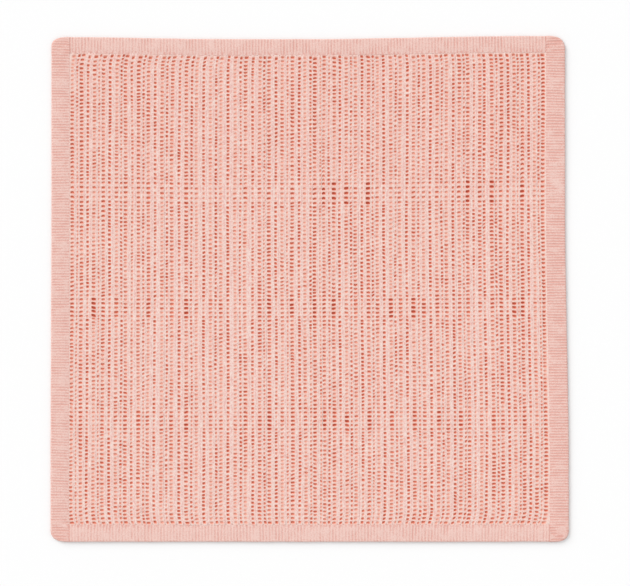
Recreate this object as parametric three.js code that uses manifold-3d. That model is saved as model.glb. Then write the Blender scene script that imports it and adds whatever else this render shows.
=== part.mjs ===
import * as THREE from 'three';
import { mergeVertices } from 'three/addons/utils/BufferGeometryUtils.js';
import Module from 'manifold-3d';

// A cellular baby blanket lying open and flat, in millimetres, with +Z up.
// The origin is on the surface it lies on, under the middle of its outline, and its length runs along Y.
// Every piece is drawn on a true rectangle of cloth, and lay() then gives it the uneven outline it lies in.

// Driving dimensions
const clothWidth = 748;
const clothLength = 732;
const panelThickness = 3.4;
const bindingThickness = 4.2;
const bindingPly = 1;
const sewingGap = 0.3;

// How far each binding strip reaches in from the edge of the blanket
const bindingWidth = { left: 26.6, right: 27.8, top: 23.8, bottom: 25.2 };

// How far the cloth has drifted out of its rectangle as it lies
const rightSwell = 5.5;
const leftSwell = 1.3;
const topLeftRise = 2.8;
const topRightRise = 4.5;

// Rounded corners: how far along each side the rounding reaches, and how full the curve is
const corners = [
  { sideX: 1, sideY: 1, reachX: 22, reachY: 20 },
  { sideX: -1, sideY: 1, reachX: 23, reachY: 15 },
  { sideX: -1, sideY: -1, reachX: 24, reachY: 17.5 },
  { sideX: 1, sideY: -1, reachX: 20, reachY: 17.5 },
];
const cornerFullness = 2.3;
const cornerSteps = 8;

// Repeats of the knit from left to right: how wide each lies, and how open its sunken columns of cells are,
// which are a round and a wide one in turn. The first repeat starts under the left binding.
const firstRepeat = -352.5;
const repeats = [
  { width: 31.5, open: [0, 0.55, 0.05, 0.7] },
  { width: 32, open: [0.65, 0.45, 0.1, 0.6] },
  { width: 32.5, open: [0.9, 0.15, 0.5, 0.55] },
  { width: 33, open: [0.35, 0.55, 0.45, 0.45] },
  { width: 35.5, open: [0.7, 0.25, 0.65, 0.45] },
  { width: 35.5, open: [0.75, 0.6, 0.7, 0.05] },
  { width: 35.5, open: [0.9, 0.3, 0.65, 0.25] },
  { width: 35.5, open: [1, 0.15, 0.55, 0.4] },
  { width: 34, open: [0.6, 0.4, 0.3, 0.6] },
  { width: 33.5, open: [0.95, 0.25, 0.35, 0.7] },
  { width: 31, open: [0.85, 0.25, 0.55, 0.75], shares: [0, 0.28, 0.55, 0.73] },
  { width: 28.5, open: [0.05, 0.4, 0.45, 0.55], shares: [0, 0.19, 0.44, 0.7] },
  { width: 32, open: [0.6, 0.35, 0.45, 0.35] },
  { width: 32, open: [0.8, 0.6, 0.4, 0.25] },
  { width: 33.5, open: [0.95, 0.35, 0.5, 0.35] },
  { width: 34, open: [0.85, 0.4, 0.5, 0.3] },
  { width: 33.5, open: [0.85, 0.35, 0.5, 0.4] },
  { width: 30, open: [0.85, 0.4, 0.4, 0.55] },
  { width: 15.5, open: [0.4, 0.5] },
  { width: 33.5, open: [0.7, 0.65, 0.4, 0.7], shares: [0, 0.32, 0.51, 0.71] },
  { width: 30.5, open: [0.95, 0.35, 0.3, 0.85] },
  { width: 30.5, open: [0.9, 0.15, 0.3, 0.8] },
];

// Where the columns stand in most repeats of four columns and in the short one of two, as shares of the width
const columnShares = { 4: [0, 0.29, 0.505, 0.7], 2: [0, 0.55] };

// The columns lean: how far right of their place they are at the top, and left of it at the bottom
const columnLean = 0.8;

// Half width of a round column and of a wide one, its depth where its cells are closed and fully open, and
// both in the bands across the cloth, where the wide columns gape and the round ones draw together
const columnKinds = [
  { half: 1.7, closedDepth: 0.5, depth: 1.5, bandHalf: 1.2, bandDepth: 0.8 },
  { half: 2.5, closedDepth: 0.4, depth: 1.6, bandHalf: 3.6, bandDepth: 2 },
];

// Bands of gaping cells across the cloth: the middle of each along Y, and its half height
const gapingBands = [
  { middle: 142, half: 17 },
  { middle: -28, half: 17 },
  { middle: -190, half: 16 },
];

// The columns are drawn in sideways where they meet the top and bottom bindings
const pinchReach = 22;
const pinch = { topLeft: 4, topRight: 2, bottomLeft: 2.6, bottomRight: 4.6 };

// Least room between the binding and the first raised shoulder of the panel
const shoulderRoom = 1;

// Depth of panel edge held inside the fold of the binding, and how deep the fold is behind it
const tuck = 16;
const foldWall = 3;

// Derived places
const halfWidth = clothWidth / 2;
const halfLength = clothLength / 2;
const fieldLeft = -halfWidth + bindingWidth.left;
const fieldRight = halfWidth - bindingWidth.right;
const fieldTop = halfLength - bindingWidth.top;
const fieldBottom = -halfLength + bindingWidth.bottom;
const slotFloor = bindingPly;
const slotCeiling = bindingThickness - bindingPly;
const tuckFloor = slotFloor + sewingGap;
const tuckCeiling = slotCeiling - sewingGap;

const { clamp, lerp, smoothstep } = THREE.MathUtils;

// The place on the surface of a point of the rectangle of cloth
function lay(x, y) {
  const across = x / halfWidth;
  const along = y / halfLength;
  const lowered = smoothstep(0.35 - along, 0, 1.1);
  const sideways = rightSwell * (1 + across) / 2 - leftSwell * (1 - across) / 2;
  const topLeft = topLeftRise * smoothstep(-across, 0.35, 0.9);
  const topRight = topRightRise * smoothstep(across, 0, 0.85);
  const rise = (topLeft + topRight) * (1 + along) / 2;
  return new THREE.Vector2(
    x + sideways * lowered - (rightSwell - leftSwell) / 2,
    y + rise - topRightRise / 2,
  );
}

// Evenly spaced numbers from start to end, both included
function spaced(start, end, steps) {
  return Array.from({ length: steps + 1 }, (_, i) => lerp(start, end, i / steps));
}

// The blanket's outline, counterclockwise, drawn in from its edge by inset
function outline(inset) {
  const points = [];
  corners.forEach((corner, index) => {
    const next = corners[(index + 1) % corners.length];
    const centreX = corner.sideX * (halfWidth - corner.reachX);
    const centreY = corner.sideY * (halfLength - corner.reachY);
    const startAngle = index * Math.PI / 2;
    for (const angle of spaced(startAngle, startAngle + Math.PI / 2, cornerSteps)) {
      const curveX = Math.abs(Math.cos(angle)) ** (2 / cornerFullness);
      const curveY = Math.abs(Math.sin(angle)) ** (2 / cornerFullness);
      points.push([
        centreX + corner.sideX * (corner.reachX - inset) * curveX,
        centreY + corner.sideY * (corner.reachY - inset) * curveY,
      ]);
    }
    const [lastX, lastY] = points[points.length - 1];
    const alongX = corner.sideY === next.sideY;
    const endX = alongX ? next.sideX * (halfWidth - next.reachX) : lastX;
    const endY = alongX ? lastY : next.sideY * (halfLength - next.reachY);
    for (const share of spaced(0, 1, 12).slice(1, -1)) {
      points.push([lerp(lastX, endX, share), lerp(lastY, endY, share)]);
    }
  });
  return points.map(([x, y]) => lay(x, y));
}

// Rectangle sides as laid points, counterclockwise from its lower right corner: right, top, left, bottom
function rectangleSides(left, right, bottom, top, steps = 14) {
  return [
    spaced(bottom, top, steps).map((y) => lay(right, y)),
    spaced(right, left, steps).map((x) => lay(x, top)),
    spaced(top, bottom, steps).map((y) => lay(left, y)),
    spaced(left, right, steps).map((x) => lay(x, bottom)),
  ];
}

function ringOf(sides) {
  return sides.flatMap((side) => side.slice(0, -1));
}

function at(point, z) {
  return new THREE.Vector3(point.x, point.y, z);
}

// Closed geometry from a list of corner points, three to a triangle
function geometryOf(triangles) {
  const geometry = new THREE.BufferGeometry().setFromPoints(triangles.flat());
  return mergeVertices(geometry, 1e-4);
}

// Wall between two matching rings, the lower one first, facing out of a counterclockwise ring
function wall(lower, upper) {
  return lower.flatMap((point, i) => {
    const j = (i + 1) % lower.length;
    return [[point, lower[j], upper[j]], [point, upper[j], upper[i]]];
  });
}

// Flat lid over a ring, as a fan from its middle
function lid(ring, facesUp) {
  const middle = ring.reduce((sum, point) => sum.add(point), new THREE.Vector3()).divideScalar(ring.length);
  return ring.map((point, i) => {
    const next = ring[(i + 1) % ring.length];
    return facesUp ? [middle, point, next] : [middle, next, point];
  });
}

// Solid through a stack of matching rings, each at its own height
function stack(levels) {
  const rings = levels.map(({ ring, z }) => ring.map((point) => at(point, z)));
  const triangles = [...lid(rings[0], false), ...lid(rings[rings.length - 1], true)];
  for (let i = 1; i < rings.length; i += 1) {
    triangles.push(...wall(rings[i - 1], rings[i]));
  }
  return geometryOf(triangles);
}

// Strip of triangles between two lines that start and end side by side, with any number of points each
function bridge(inner, outer, facesUp) {
  const triangles = [];
  let i = 0;
  let j = 0;
  while (i < inner.length - 1 || j < outer.length - 1) {
    const innerNext = i < inner.length - 1 ? (i + 1) / (inner.length - 1) : Infinity;
    const outerNext = j < outer.length - 1 ? (j + 1) / (outer.length - 1) : Infinity;
    const stepInner = innerNext <= outerNext;
    const tip = stepInner ? inner[i + 1] : outer[j + 1];
    triangles.push(facesUp ? [inner[i], outer[j], tip] : [outer[j], inner[i], tip]);
    i += stepInner ? 1 : 0;
    j += stepInner ? 0 : 1;
  }
  return triangles;
}

// Sunken columns of cells that show between the side bindings, from left to right
function cellColumns() {
  const columns = [];
  let start = firstRepeat;
  for (const { width, open, shares = columnShares[open.length] } of repeats) {
    open.forEach((openness, number) => {
      const { half, closedDepth, depth, bandHalf, bandDepth } = columnKinds[number % 2];
      const x = start + shares[number] * width;
      if (x > fieldLeft) {
        columns.push({ x, half, depth: lerp(closedDepth, depth, openness), bandHalf, bandDepth });
      }
    });
    start += width;
  }
  return columns;
}

// 1 in the middle of a band of gaping cells, 0 outside it
function bandShare(y) {
  return Math.max(...gapingBands.map(({ middle, half }) => 1 - smoothstep(Math.abs(y - middle), 0, half)));
}

// Sideways draw of a column near the top and bottom bindings
function pinched(x, y) {
  const across = clamp(x / (halfWidth / 2), -1, 1);
  const nearTop = clamp(1 - (fieldTop - y) / pinchReach, 0, 1) ** 2;
  const nearBottom = clamp(1 - (y - fieldBottom) / pinchReach, 0, 1) ** 2;
  const top = across < 0 ? pinch.topLeft : pinch.topRight;
  const bottom = across < 0 ? pinch.bottomLeft : pinch.bottomRight;
  return x - across * (top * nearTop + bottom * nearBottom);
}

// The panel's face across the cloth at one height along it: a sunken line for each column of cells
// and the two shoulders of raised cord beside it
function faceLine(columns, y) {
  const share = bandShare(y);
  const lean = columnLean * y / halfLength;
  const sewn = y === fieldTop - sewingGap || y === fieldBottom + sewingGap;
  const points = [at(lay(fieldLeft + sewingGap, y), tuckCeiling)];
  for (const column of columns) {
    const half = lerp(column.half, column.bandHalf, share);
    const depth = lerp(column.depth, column.bandDepth, share);
    for (const shift of [-half, 0, half]) {
      const x = clamp(column.x + lean + shift, fieldLeft + shoulderRoom, fieldRight - shoulderRoom);
      const height = shift === 0 ? panelThickness - depth : panelThickness;
      points.push(at(lay(pinched(x, y), y), sewn ? tuckCeiling : height));
    }
  }
  points.push(at(lay(fieldRight - sewingGap, y), tuckCeiling));
  return points;
}

// Heights along the cloth at which the face is drawn: both sewn edges, the start, middle and end of each
// band of gaping cells, the first full line beside each sewn edge, and where the columns start to draw in
function faceHeights() {
  const edgeRows = [fieldBottom + sewingGap, fieldBottom + 2.5, fieldTop - 2.5, fieldTop - sewingGap];
  const bandRows = gapingBands.flatMap(({ middle, half }) => [middle - half, middle, middle + half]);
  const pinchRows = [fieldBottom + pinchReach, fieldBottom + pinchReach / 2, fieldTop - pinchReach / 2,
    fieldTop - pinchReach];
  return [...edgeRows, ...bandRows, ...pinchRows].sort((a, b) => a - b);
}

// The knitted panel: ridged face, plain closed back, and a thinner edge that goes inside the binding
function panelGeometry() {
  const columns = cellColumns();
  const lines = faceHeights().map((y) => faceLine(columns, y));
  const top = lines[lines.length - 1];
  const faceSides = [
    lines.map((line) => line[line.length - 1]),
    [...top].reverse(),
    lines.map((line) => line[0]).reverse(),
    lines[0],
  ];
  const tuckSides = rectangleSides(fieldLeft - tuck, fieldRight + tuck, fieldBottom - tuck, fieldTop + tuck);
  const backSides = rectangleSides(
    fieldLeft + sewingGap,
    fieldRight - sewingGap,
    fieldBottom + sewingGap,
    fieldTop - sewingGap,
  );
  const raise = (sides, z) => sides.map((side) => side.map((point) => at(point, z)));
  const tuckTop = raise(tuckSides, tuckCeiling);
  const tuckBottom = raise(tuckSides, tuckFloor);
  const backTop = raise(backSides, tuckFloor);
  const backBottom = raise(backSides, 0);

  const triangles = [];
  for (let row = 1; row < lines.length; row += 1) {
    const below = lines[row - 1];
    const above = lines[row];
    for (let i = 1; i < below.length; i += 1) {
      triangles.push([below[i - 1], below[i], above[i]], [below[i - 1], above[i], above[i - 1]]);
    }
  }
  for (let side = 0; side < 4; side += 1) {
    triangles.push(...bridge(faceSides[side], tuckTop[side], true));
    triangles.push(...bridge(backTop[side], tuckBottom[side], false));
  }
  triangles.push(...wall(ringOf(tuckBottom), ringOf(tuckTop)));
  triangles.push(...wall(ringOf(backBottom), ringOf(backTop)));
  triangles.push(...lid(ringOf(backBottom), false));
  return geometryOf(triangles);
}

const wasm = await Module();
wasm.setup();

function solidOf(geometry) {
  const mesh = new wasm.Mesh({
    numProp: 3,
    vertProperties: new Float32Array(geometry.attributes.position.array),
    triVerts: new Uint32Array(geometry.index.array),
  });
  return new wasm.Manifold(mesh);
}

function geometryOfSolid(solid) {
  const mesh = solid.getMesh();
  const geometry = new THREE.BufferGeometry();
  geometry.setAttribute('position', new THREE.BufferAttribute(new Float32Array(mesh.vertProperties), 3));
  geometry.setIndex(new THREE.BufferAttribute(new Uint32Array(mesh.triVerts), 1));
  return geometry;
}

// The whole binding before it is cut into strips: a rounded frame with a slot for the panel's edge
function bindingFrame() {
  const profile = [
    { inset: 1.9, z: 0 },
    { inset: 0.6, z: 0.5 },
    { inset: 0, z: 1.5 },
    { inset: 0, z: 2.7 },
    { inset: 0.6, z: 3.7 },
    { inset: 1.9, z: bindingThickness },
  ];
  const body = stack(profile.map(({ inset, z }) => ({ ring: outline(inset), z })));
  const field = ringOf(rectangleSides(fieldLeft, fieldRight, fieldBottom, fieldTop));
  const softened = ringOf(rectangleSides(fieldLeft - 1, fieldRight + 1, fieldBottom - 1, fieldTop + 1));
  const opening = stack([
    { ring: field, z: -1 },
    { ring: field, z: slotCeiling + 0.3 },
    { ring: softened, z: bindingThickness + 0.1 },
    { ring: softened, z: bindingThickness + 1 },
  ]);
  const slotRing = outline(foldWall);
  const slot = stack([
    { ring: slotRing, z: slotFloor },
    { ring: slotRing, z: slotCeiling },
  ]);
  return solidOf(body).subtract(solidOf(opening)).subtract(solidOf(slot));
}

// The part of the binding between two lines across the cloth and two lines along it
function bindingStrip(frame, left, right, bottom, top) {
  const ring = ringOf(rectangleSides(left, right, bottom, top));
  const region = stack([
    { ring, z: -2 },
    { ring, z: bindingThickness + 2 },
  ]);
  return geometryOfSolid(frame.intersect(solidOf(region)));
}

const panelMaterial = new THREE.MeshStandardMaterial({ color: 0xe7b3a4, roughness: 0.95, metalness: 0 });
const bindingMaterial = new THREE.MeshStandardMaterial({ color: 0xebc1b6, roughness: 0.92, metalness: 0 });

const blanket = new THREE.Group();

function addPiece(name, geometry, material) {
  geometry.computeVertexNormals();
  const piece = new THREE.Mesh(geometry, material.clone());
  piece.name = name;
  blanket.add(piece);
}

// The side strips run the whole length, and the top and bottom strips butt against them
const frame = bindingFrame();
const outside = 20;
const seam = 0.15;
const sideLeft = fieldLeft + seam;
const sideRight = fieldRight - seam;
const west = -halfWidth - outside;
const east = halfWidth + outside;
const south = -halfLength - outside;
const north = halfLength + outside;

addPiece('cellular_panel', panelGeometry(), panelMaterial);
addPiece('binding_left', bindingStrip(frame, west, sideLeft, south, north), bindingMaterial);
addPiece('binding_right', bindingStrip(frame, sideRight, east, south, north), bindingMaterial);
addPiece(
  'binding_top',
  bindingStrip(frame, sideLeft + sewingGap, sideRight - sewingGap, 0, north),
  bindingMaterial,
);
addPiece(
  'binding_bottom',
  bindingStrip(frame, sideLeft + sewingGap, sideRight - sewingGap, south, 0),
  bindingMaterial,
);

export default blanket;
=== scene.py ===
import math
import bpy
import numpy as np
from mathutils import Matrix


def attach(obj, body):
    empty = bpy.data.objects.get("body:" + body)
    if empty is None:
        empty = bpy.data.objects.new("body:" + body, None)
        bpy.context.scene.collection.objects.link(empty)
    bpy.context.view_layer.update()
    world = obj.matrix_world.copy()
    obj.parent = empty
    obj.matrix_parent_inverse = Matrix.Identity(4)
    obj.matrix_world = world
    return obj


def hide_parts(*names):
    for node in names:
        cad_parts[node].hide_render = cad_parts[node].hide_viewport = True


# A cellular baby blanket lying open and flat, in metres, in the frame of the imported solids.
# Every piece is drawn on a true rectangle of cloth, and lay() gives it the outline in which it lies.
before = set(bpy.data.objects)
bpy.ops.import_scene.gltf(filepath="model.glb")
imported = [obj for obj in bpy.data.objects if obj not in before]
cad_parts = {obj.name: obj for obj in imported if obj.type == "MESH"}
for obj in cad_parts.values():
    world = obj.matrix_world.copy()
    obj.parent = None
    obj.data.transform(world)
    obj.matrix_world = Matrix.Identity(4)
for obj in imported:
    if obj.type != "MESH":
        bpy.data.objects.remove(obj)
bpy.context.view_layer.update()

# Driving dimensions of the cloth
CLOTH_WIDTH = 0.748
CLOTH_LENGTH = 0.732
PANEL_THICKNESS = 0.0034
BINDING_THICKNESS = 0.0042
BINDING_PLY = 0.001
SEWING_GAP = 0.0003
TUCK = 0.016
BINDING_WIDTH = {"left": 0.0266, "right": 0.0278, "top": 0.0238, "bottom": 0.0252}

# The field of cells between the bindings, and how far its face goes on under their hems
HALF_WIDTH = CLOTH_WIDTH / 2
HALF_LENGTH = CLOTH_LENGTH / 2
FIELD_LEFT = -HALF_WIDTH + BINDING_WIDTH["left"]
FIELD_RIGHT = HALF_WIDTH - BINDING_WIDTH["right"]
FIELD_TOP = HALF_LENGTH - BINDING_WIDTH["top"]
FIELD_BOTTOM = -HALF_LENGTH + BINDING_WIDTH["bottom"]
UNDER_HEM = 0.0012

# Drift of the cloth out of its rectangle
RIGHT_SWELL = 0.0055
LEFT_SWELL = 0.0013
TOP_LEFT_RISE = 0.0028
TOP_RIGHT_RISE = 0.0045

# How far the rounding of each corner reaches along X and along Y
CORNER_REACH = {
    (1, 1): (0.022, 0.020),
    (-1, 1): (0.023, 0.015),
    (-1, -1): (0.024, 0.0175),
    (1, -1): (0.020, 0.0175),
}
CORNER_FULLNESS = 2.3

# Repeats of the knit from left to right: how wide each lies, and how open its columns of cells are, which
# are a round and a wide one in turn. The first repeat starts under the left binding.
FIRST_REPEAT = -0.3525
REPEATS = (
    {"width": 0.0315, "open": (0.00, 0.55, 0.05, 0.70)},
    {"width": 0.0320, "open": (0.65, 0.45, 0.10, 0.60)},
    {"width": 0.0325, "open": (0.90, 0.15, 0.50, 0.55)},
    {"width": 0.0330, "open": (0.35, 0.55, 0.45, 0.45)},
    {"width": 0.0355, "open": (0.70, 0.25, 0.65, 0.45)},
    {"width": 0.0355, "open": (0.75, 0.60, 0.70, 0.05)},
    {"width": 0.0355, "open": (0.90, 0.30, 0.65, 0.25)},
    {"width": 0.0355, "open": (1.00, 0.15, 0.55, 0.40)},
    {"width": 0.0340, "open": (0.60, 0.40, 0.30, 0.60)},
    {"width": 0.0335, "open": (0.95, 0.25, 0.35, 0.70)},
    {"width": 0.0310, "open": (0.85, 0.25, 0.55, 0.75), "shares": (0.0, 0.28, 0.55, 0.73)},
    {"width": 0.0285, "open": (0.05, 0.40, 0.45, 0.55), "shares": (0.0, 0.19, 0.44, 0.70)},
    {"width": 0.0320, "open": (0.60, 0.35, 0.45, 0.35)},
    {"width": 0.0320, "open": (0.80, 0.60, 0.40, 0.25)},
    {"width": 0.0335, "open": (0.95, 0.35, 0.50, 0.35)},
    {"width": 0.0340, "open": (0.85, 0.40, 0.50, 0.30)},
    {"width": 0.0335, "open": (0.85, 0.35, 0.50, 0.40)},
    {"width": 0.0300, "open": (0.85, 0.40, 0.40, 0.55)},
    {"width": 0.0155, "open": (0.40, 0.50)},
    {"width": 0.0335, "open": (0.70, 0.65, 0.40, 0.70), "shares": (0.0, 0.32, 0.51, 0.71)},
    {"width": 0.0305, "open": (0.95, 0.35, 0.30, 0.85)},
    {"width": 0.0305, "open": (0.90, 0.15, 0.30, 0.80)},
)
# Where the columns usually stand in a repeat of four columns and in a short one of two, as shares of
# its width
COLUMN_SHARES = {4: (0.0, 0.29, 0.505, 0.70), 2: (0.0, 0.55)}
# The columns lean: how far right of their place they are at the top, and left of it at the bottom
COLUMN_LEAN = 0.0008
# How far a column sways slowly and quickly along its way, and how far it stands off its place
SLOW_SWAY, QUICK_SWAY, OFF_PLACE = 0.00035, 0.00010, 0.00015
# Share of the room between two columns of cells that each of the two cords there takes
CORD_SHARE = 0.42

# The two kinds of columns:
#   across, along: half sizes of an open cell
#   shut, full: shares of that width which a shut cell and a full one have
#   slow, quick: how far openness changes along the column and from cell to cell
#   lean, bow: angle at which the cells lean, and height by which they bow
#   uneven: unevenness of the steps from row to row
#   rung: height of the rungs between the cells
#   paling: how far an open cell takes the warmth out of its rungs
#   cord_warmth: how much coral lies where a cell faces a cord, partly yarn tone and partly painted bounced
#       light
ROUND = {
    "across": 0.00160, "along": 0.00165, "shut": 0.74, "full": 1.14, "slow": 0.15, "quick": 0.27,
    "lean": 0.20, "bow": 0.0, "uneven": 0.14, "rung": 0.00300, "paling": 0.9, "cord_warmth": 0.15,
}
WIDE = {
    "across": 0.00246, "along": 0.00136, "shut": 0.76, "full": 1.09, "slow": 0.16, "quick": 0.20,
    "lean": 0.13, "bow": 0.0005, "uneven": 0.10, "rung": 0.00312, "paling": 0.4, "cord_warmth": 0.3,
}
COLUMN_KINDS = (ROUND, WIDE)

# Half sizes of a wide cell that gapes, how evenly such cells do, and how much less they bow
GAPING_CELL = (0.00310, 0.00180)
GAPING_USUAL, GAPING_UNEVEN, GAPING_LIMITS = 0.95, 0.18, (0.5, 1.15)
GAPING_STRAIGHTER = 0.6
# Share of its height that a shut cell has, and the limits of openness
SHUT_HEIGHT = 0.82
LEAST_OPEN, MOST_OPEN = 0.04, 1.1
# What is left at least of a cord beside a cell
LEAST_CORD = 0.0006
# How much further the hems pull open the first and the last cell of a column
HEMS_OPEN = (0.2, 0.1)

# Rows of cells: usual pitch, the pitch in each level band that gapes by the middle of the band, and rows
# in one
ROW_PITCH = 0.00567
BAND_PITCHES = {0.141: 0.0070, -0.0265: 0.0061, -0.190: 0.0061}
BAND_ROWS = 5
TOP_HEM_TO_ROW = 0.0041
BOTTOM_HEM_TO_ROW = 0.0029
# How far the first cells, the last ones and those of the bands stand off their places
TOP_RAGGED = (-0.0017, 0.0015)
BOTTOM_RAGGED = (-0.0006, 0.0012)
BAND_RAGGED, BAND_ROW_RAGGED = 0.0004, 0.0003
# Steps from row to row: weight of the slow and the quick part of their unevenness, and their limits
STEP_WEIGHT = 0.7
STEP_LIMITS = (0.72, 1.4)

# In a band the wide columns open by an amount in this range, and the round ones lose a share of their
# openness. Both fade between two distances from the middle of the band.
WIDE_OPENS = (0.1, 0.5)
ROUND_CLOSES = (0.4, 1.0)
BAND_FADE = (0.008, 0.017)

# Places in each band where a wide column gapes, and how far it does
GAPING = {
    0.141: ((-0.232, 0.5), (-0.176, 0.5), (0.023, 0.7), (0.0365, 0.9), (0.054, 1.0), (0.0865, 1.25),
            (0.234, 1.0), (0.2645, 1.0), (0.312, 0.8)),
    -0.0265: ((-0.313, 1.0), (-0.280, 0.6), (-0.232, 0.7), (-0.197, 0.5), (-0.176, 0.9), (-0.143, 0.4),
              (-0.057, 0.6), (-0.022, 0.6), (0.0085, 0.6), (0.0375, 1.0), (0.0695, 0.5), (0.120, 0.8),
              (0.135, 0.4), (0.153, 0.9), (0.168, 0.5), (0.234, 0.5), (0.2985, 0.8), (0.314, 0.7)),
    -0.190: ((-0.247, 0.7), (-0.176, 0.7), (-0.057, 0.7), (0.0235, 0.9), (0.038, 0.5), (0.056, 0.8),
             (0.088, 0.7), (0.121, 0.6), (0.155, 0.7), (0.188, 0.5), (0.221, 0.7), (0.235, 0.5),
             (0.268, 0.6), (0.315, 0.6)),
}
# Where gaping fades, in rows from the middle of the band and in metres from the place
GAPING_ROWS = (1.9, 2.6)
GAPING_REACH = (0.003, 0.0055)

# The columns are drawn in sideways where they meet the top and bottom bindings, but not right beside a
# side one
PINCH_REACH = 0.022
PINCH_FREE = 0.003
PINCH = {"top_left": 0.004, "top_right": 0.002, "bottom_left": 0.0026, "bottom_right": 0.0046}

# Heights in the knit, from the underside up
FACE_UNDERSIDE = 0.00105
BACK_PLY = 0.0011
CELL_FLOOR = 0.00190
LIP = 0.00290
CORD_VALLEY = 0.00300
CORD_CROSSING = 0.00325
SEWN_EDGE = 0.00330
CORD_CREST = PANEL_THICKNESS
# Small steps in height: down to the crest ring, up from a rung to it, down to the lip, down to the floor of
# a shut cell, and down to the middle of any floor
CREST_STEP, RUNG_STEP, LIP_STEP, SHUT_STEP, DISH_STEP = 0.00005, 0.00003, 0.0001, 0.00030, 0.00005
# How uneven furrows, rungs and crests are in height
FURROW_ROUGH, RUNG_ROUGH, CREST_ROUGH = 0.00010, 0.00008, 0.00005
# How much smaller the floor of a cell is than its lip, and the least half height of both
FLOOR_SHRINK, LEAST_HALF = 0.0002, 0.0003
# Where the crest lies on the way from the lip of a cell to the furrow or rung outside it
CREST_AT_CORD, CREST_AT_RUNG = 0.45, 0.5
# Power with which the floor of a cell sinks as it opens
SINKING = 0.8
# Pieces of the face, and points of the line in which two of them meet
FACE_STRIPS = 5
END_POINTS = 121

# Tones on the three rings of a cell, from crest to lip to floor, and at its middle. A tone of 1 is full. The
# sunk tones set how far the painted shade of a cell shows, coral from its wall to its deepest.
RING_SUNK = np.array([[0.0], [0.6], [0.95]])
RING_CREST = np.array([[1.0], [0.6], [0.3]])
MIDDLE_SUNK = 1.25
SHUT_SUNK, GAPING_SUNK = 0.24, 0.4
# Crest tones carry a painted highlight, and low ones leave painted furrow shade: on the furrows, the rungs,
# the sewn edges, and how patchy each is
FURROW_CREST, RUNG_CREST, SEWN_CREST = 0.30, 0.85, 0.4
FURROW_PATCHY, RUNG_PATCHY, RING_PATCHY = 0.20, 0.15, 0.16
MOST_CREST = 1.3
# Coral on the rungs and on cell walls facing them: partly the yarn's tone, partly painted light bounced in
# the cells
RUNG_WARM, RUNG_SIDE_WARM, WARM_PATCHY = 0.5, 0.7, 0.3

# The crest tone is lowered in the upper part of the cloth, which turns it warmer there, and raised a little,
# paler, in the rest
REST_PALER = 0.035
TOP_WARMER = 0.13
TOP_WARMER_FROM, TOP_WARMER_TO = 0.06, 0.22

# Ribs of the binding: pitch on the side strips and on the top and bottom strips, and depth of a furrow
SIDE_RIB_PITCH = 0.0040
END_RIB_PITCH = 0.0046
RIB_DEPTH = {"left": 0.00044, "right": 0.00052, "top": 0.00044, "bottom": 0.00040}
# How much of the deeper furrow colour, painted shade, shows on each strip, and all over near the corners
FURROW_SHADE_TONE = {"left": 1.0, "right": 1.3, "top": 0.75, "bottom": 0.7}
CORNER_TONE = 0.22
# How near its ends a side strip is unruly, and over what distance that fades
CORNER_PART, CORNER_FADE = 0.040, 0.030
# Furrows: fullness of their section, usual depth, unevenness away from the corners and near them, and limits
FURROW_FULLNESS = 0.8
FURROW_USUAL, FURROW_UNEVEN, FURROW_LIMITS = 0.8, (0.24, 0.45), (0.1, 1.6)
# Sideways waver of the ribs: slow, quick away from the corners and near them, and how near an end it is held
SLOW_WAVER, QUICK_WAVER, WAVER_HELD = 0.0004, (0.00022, 0.00050), 0.006
# Unevenness of the upper side
SWELL = 0.00006
# The fold is drawn in from this share of the section on, so far at a furrow, and sways so far
FOLD_FROM, FOLD_DENT, FOLD_SWAY = 0.9, 0.00022, 0.00010

# Places of the points round the section of a folded strip, as shares of the way from its seam to its fold
OVER = np.array([0, 0.02, 0.05, 0.10, 0.16, 0.24, 0.35, 0.5, 0.65, 0.8, 0.88, 0.93, 0.96, 0.98, 0.994, 1.0])
BELOW = np.array([0.985, 0.95, 0.88, 0.5, 0.1, 0.02, 0])
RIB_PHASES = np.arange(6) / 6
# Rounding of the fold, and the least share of the height there
FOLD_ROUND = 0.0019
LEAST_FOLD = 0.05
# How far the seams of the side strips lie from the edges of the field
SEAM_STEP = 0.00015
# A strip slopes down to a share of its ply at its seam, and a share of a furrow's depth always stays
SEAM_SLOPE = (-0.0015, 0.010)
SEAM_PLY = 0.33
FURROW_STAYS = 0.4
# Gap, rounding and share of the ply where two strips butt, and where a side strip passes on to the field
BUTT_GAP = 0.00002
BUTT_ROUND = 0.0004
BUTT_PLY = 0.93
BUTT_TO_FIELD = (-0.001, 0.003)
# The cloth of a strip never gets closer to the middle of its section than this
LEAST_HEIGHT = 0.00008
# Slot for the panel's edge: how far it ends before the fold, the least share of the strip's width that it
# takes, its least half height, and where it closes towards the ends of a side strip
SLOT_STOP = 0.003
SLOT_LEAST_SHARE = 0.05
SLOT_LEAST = 0.00003
SLOT_CLOSES = (0.003, 0.006)

# Warm marks of the sewing thread: at two corner tips, with their sizes, and over each column at the hems
CORNER_STITCHES = ((0.3655, 0.3570), (0.3623, -0.3572))
CORNER_STITCH_WIDTH, CORNER_STITCH_HEIGHT, CORNER_STITCH_TONE = 0.0022, 0.0013, 2.0
HEM_STITCH_TONES = (0.2, 1.5)
HEM_STITCH_WIDTH = 0.0012
HEM_STITCH_REACH = (0.0012, 0.0055)
BUTT_STITCH_TONE = 0.5
BUTT_STITCH_REACH = (0.0012, 0.0028)

random = np.random.RandomState(31)


def smoothstep(value, low, high):
    share = np.clip((value - low) / (high - low), 0, 1)
    return share * share * (3 - 2 * share)


def mix(a, b, share):
    return a + (b - a) * share


def rounded(distance, radius):
    """Quarter round: 0 at an edge, 1 from radius inwards."""
    return np.sqrt(1 - (1 - np.clip(distance / radius, 0, 1)) ** 2)


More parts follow.
